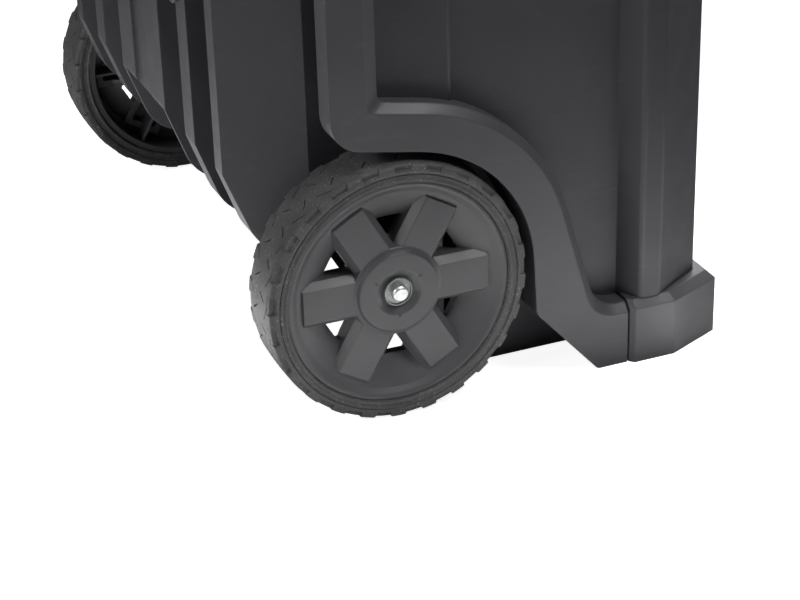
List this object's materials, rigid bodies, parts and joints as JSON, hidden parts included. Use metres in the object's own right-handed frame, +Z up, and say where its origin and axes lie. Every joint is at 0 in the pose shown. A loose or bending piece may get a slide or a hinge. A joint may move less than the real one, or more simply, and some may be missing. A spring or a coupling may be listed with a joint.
{
  "type": "jobsite storage box",
  "caption": "Upright rolling jobsite storage box with a hinged lid, latches, carry handles, a pull handle and two wheels.",
  "frame": {"origin": "on the ground, under the middle of the whole box", "axes": "+Z up, -Y towards the front with the latches, +Y towards the pull handle, X along the axle"},
  "size_m": [0.568, 0.396, 0.6],
  "materials": {
    "body": "moulded, fine matte grain",
    "trim": "moulded, fine matte grain",
    "seal": "soft, matt",
    "zinc": "zinc plated",
    "bush": "smooth",
    "steel": "zinc plated",
    "hub": "moulded, satin",
    "tyre": "solid rubber, matt",
    "latch": "glass-filled nylon, satin",
    "plate": "black, satin",
    "fitting": "glass-filled nylon, satin",
    "tube": "anodised",
    "grip": "fine grain",
    "button": "smooth"
  },
  "bodies": {
    "box": {"axle": "steel", "axle_cap_left": "zinc", "axle_cap_right": "zinc", "axle_spacer_left": "bush", "axle_spacer_right": "bush", "carry_brackets_left": "fitting", "carry_brackets_right": "fitting", "carry_pins_left": "steel", "carry_pins_right": "steel", "carry_screws_left": "steel", "carry_screws_right": "steel", "end_frame_left": "trim", "end_frame_right": "trim", "foot_cap_left": "trim", "foot_cap_right": "trim", "handle_collar": "fitting", "handle_screws": "steel", "handle_shoes": "fitting", "outer_tube_left": "tube", "outer_tube_right": "tube", "strike_left": "plate", "strike_right": "plate", "tub": "body", "tub_end_left": "body", "tub_end_right": "body", "tub_hasp": "plate"},
    "lid": {"lid_shell": "body", "lid_seal": "seal", "lid_hasp": "plate", "hinge_pin_left": "steel", "hinge_pin_right": "steel", "latch_pin_left": "steel", "latch_pin_right": "steel"},
    "latch_left": {"latch_left": "latch"},
    "latch_right": {"latch_right": "latch"},
    "carry_handle_left": {"carry_handle_left": "fitting"},
    "carry_handle_right": {"carry_handle_right": "fitting"},
    "wheel_left": {"wheel_hub_left": "hub", "tyre_left": "tyre"},
    "wheel_right": {"wheel_hub_right": "hub", "tyre_right": "tyre"},
    "handle_middle": {"middle_tube_left": "tube", "middle_tube_right": "tube", "tube_bush_left": "bush", "tube_bush_right": "bush"},
    "handle_top": {"inner_tube_left": "tube", "inner_tube_right": "tube", "pull_grip": "grip"},
    "release_button": {"release_button": "button"}
  },
  "joints": [
    {"name": "lid_hinge", "type": "hinge", "parent": "box", "child": "lid", "pos_m": [0, 0.152, 0.582], "axis": [-1, 0, 0], "range_deg": [0, 90]},
    {"name": "latch_left_pivot", "type": "hinge", "parent": "lid", "child": "latch_left", "pos_m": [-0.17, -0.1908, 0.586], "axis": [-1, 0, 0], "range_deg": [0, 110]},
    {"name": "latch_right_pivot", "type": "hinge", "parent": "lid", "child": "latch_right", "pos_m": [0.17, -0.1908, 0.586], "axis": [-1, 0, 0], "range_deg": [0, 110]},
    {"name": "carry_handle_left_pivot", "type": "hinge", "parent": "box", "child": "carry_handle_left", "pos_m": [-0.2675, -0.0035, 0.5], "axis": [0, 1, 0], "range_deg": [0, 90]},
    {"name": "carry_handle_right_pivot", "type": "hinge", "parent": "box", "child": "carry_handle_right", "pos_m": [0.2675, -0.0035, 0.5], "axis": [0, -1, 0], "range_deg": [0, 90]},
    {"name": "wheel_left_spin", "type": "hinge", "parent": "box", "child": "wheel_left", "pos_m": [-0.26, 0.086, 0.1016], "axis": [1, 0, 0], "continuous": true},
    {"name": "wheel_right_spin", "type": "hinge", "parent": "box", "child": "wheel_right", "pos_m": [0.26, 0.086, 0.1016], "axis": [1, 0, 0], "continuous": true},
    {"name": "handle_lower_slide", "type": "slide", "parent": "box", "child": "handle_middle", "axis": [0, 0, 1], "range_m": [0, 0.2]},
    {"name": "handle_upper_slide", "type": "slide", "parent": "handle_middle", "child": "handle_top", "axis": [0, 0, 1], "range_m": [0, 0.2]},
    {"name": "button_press", "type": "slide", "parent": "handle_top", "child": "release_button", "axis": [0, 0, -1], "range_m": [0, 0.004], "stiffness_N_per_m": 400, "springref_m": -0.002}
  ]
}
